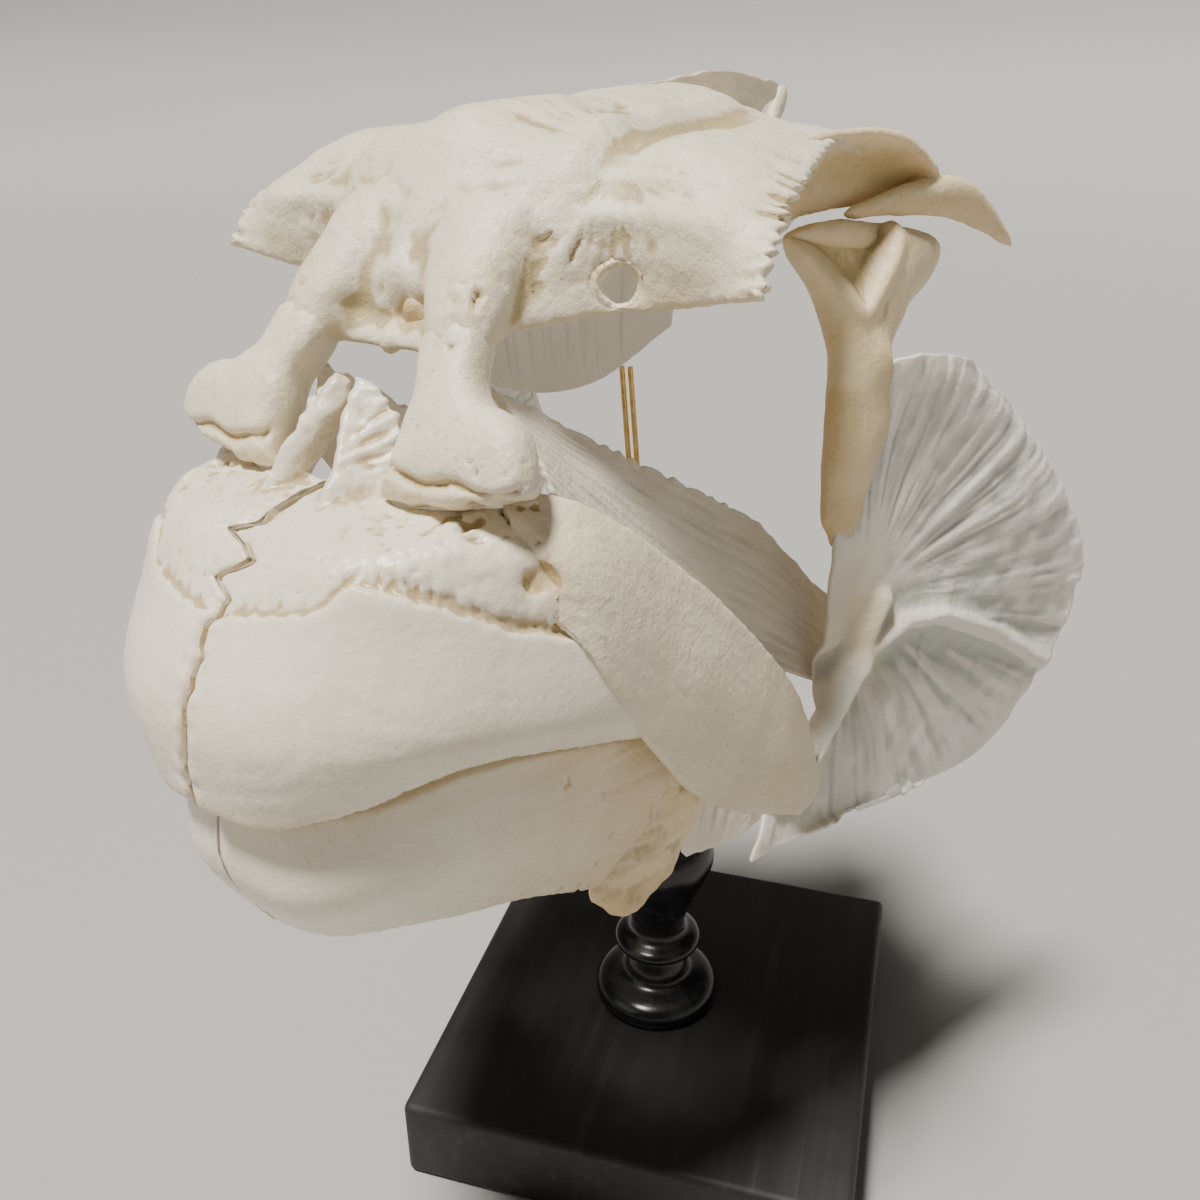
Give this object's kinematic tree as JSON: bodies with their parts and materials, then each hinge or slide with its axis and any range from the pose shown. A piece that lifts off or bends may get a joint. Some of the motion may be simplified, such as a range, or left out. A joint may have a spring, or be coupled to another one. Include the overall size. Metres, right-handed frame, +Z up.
{
  "type": "pufferfish skull on a display stand",
  "caption": "Bony pufferfish skull with a fused beak, winged brow and fan-shaped cheek plates, held on brass wires over a turned black post and a square base for display",
  "frame": {"origin": "the middle of the base's underside, on the table it stands on", "axes": "+Z up, X and Y along the sides of the square base; the beak points to -Y and a little to -X"},
  "size_m": [0.1443, 0.1652, 0.2056],
  "materials": {
    "bone": "dry ivory bone, fine grain and pits",
    "thin_bone": "thin bone, slightly clear, grey-white",
    "beak": "smooth pearly tooth plate below rough bone",
    "warm_bone": "oily tan-stained bone",
    "black_wood": "black stain, satin, worn grain",
    "black_lacquer": "gloss black lacquer",
    "wire": "bright drawn wire"
  },
  "bodies": {
    "root": {"cranium": "bone", "supraoccipital": "bone", "parasphenoid": "thin_bone", "premaxilla_left": "beak", "premaxilla_right": "beak", "maxilla_left": "bone", "maxilla_right": "bone", "dentary_left": "beak", "dentary_right": "beak", "articular_left": "warm_bone", "articular_right": "warm_bone", "quadrate_left": "thin_bone", "quadrate_right": "thin_bone", "hyomandibula_left": "warm_bone", "hyomandibula_right": "warm_bone", "preopercle_left": "thin_bone", "preopercle_right": "thin_bone", "pterygoid_left": "thin_bone", "pterygoid_right": "thin_bone", "palatine_left": "bone", "palatine_right": "bone", "sphenotic_left": "warm_bone", "sphenotic_right": "warm_bone", "mount_base": "black_wood", "mount_post": "black_lacquer", "mount_wire_left": "wire", "mount_wire_right": "wire"}
  },
  "joints": []
}
